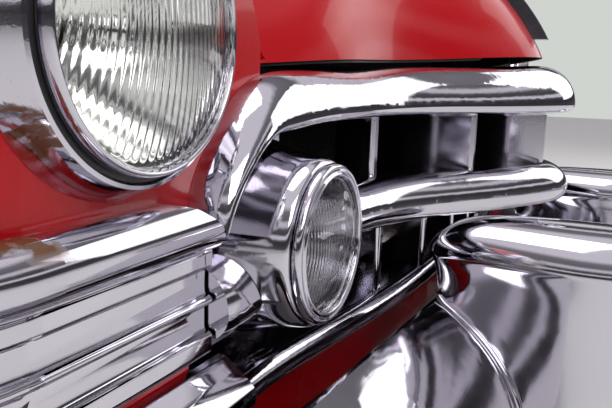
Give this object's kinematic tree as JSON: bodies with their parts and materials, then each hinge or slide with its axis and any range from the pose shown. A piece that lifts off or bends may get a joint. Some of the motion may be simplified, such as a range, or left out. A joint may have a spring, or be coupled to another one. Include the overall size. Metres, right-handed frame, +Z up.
{
  "type": "car front end",
  "caption": "Front end of a 1950s car on the front of its frame, with an opening bonnet, wings, chrome grille, headlamps, fog lamps and a wrapped bumper with guards.",
  "frame": {"origin": "on the mounting face of the frame: between the rear plates of the two frame rails, on the centre line, level with the middle of the rails", "axes": "+X towards the car's left-hand side, +Y towards the rear of the car, +Z up; the road is 0.370 m below the origin"},
  "size_m": [2.0617, 1.9487, 0.7919],
  "materials": {
    "red_paint": "gloss",
    "chrome": "polished, worn",
    "lamp_glass": "pressed and fluted",
    "dark_paint": "satin",
    "radiator_metal": "matt"
  },
  "bodies": {
    "front_end": {"frame_front": "dark_paint", "wing_left": "red_paint", "wing_right": "red_paint", "wheelhouse_left": "dark_paint", "wheelhouse_right": "dark_paint", "radiator_support": "dark_paint", "radiator": "radiator_metal", "hinge_bracket_left": "dark_paint", "hinge_bracket_right": "dark_paint", "headlamp_lens_left": "lamp_glass", "headlamp_lens_right": "lamp_glass", "headlamp_ring_left": "chrome", "headlamp_ring_right": "chrome", "headlamp_bucket_left": "dark_paint", "headlamp_bucket_right": "dark_paint", "headlamp_bezel_left": "chrome", "headlamp_bezel_right": "chrome", "fog_lamp_shell_left": "chrome", "fog_lamp_shell_right": "chrome", "fog_lamp_rim_left": "chrome", "fog_lamp_rim_right": "chrome", "fog_lamp_lens_left": "lamp_glass", "fog_lamp_lens_right": "lamp_glass", "grille_top_bar": "chrome", "grille_middle_bar": "chrome", "grille_lower_bar": "chrome", "grille_blades": "chrome", "grille_end_panel_left": "chrome", "grille_end_panel_right": "chrome", "side_moulding_left": "chrome", "side_moulding_right": "chrome", "side_panel_left": "chrome", "side_panel_right": "chrome", "side_ledge_left": "chrome", "side_ledge_right": "chrome", "valance": "red_paint", "bumper_bar": "chrome", "bumper_guard_left": "chrome", "bumper_guard_right": "chrome", "bumper_bracket_left": "dark_paint", "bumper_bracket_right": "dark_paint"},
    "bonnet_lid": {"bonnet": "red_paint", "bonnet_frame": "dark_paint", "bonnet_ornament": "chrome"}
  },
  "joints": [
    {"name": "bonnet_hinge", "type": "hinge", "parent": "front_end", "child": "bonnet_lid", "pos_m": [0, -0.06, 0.58], "axis": [-1, 0, 0], "range_deg": [0, 45]}
  ]
}
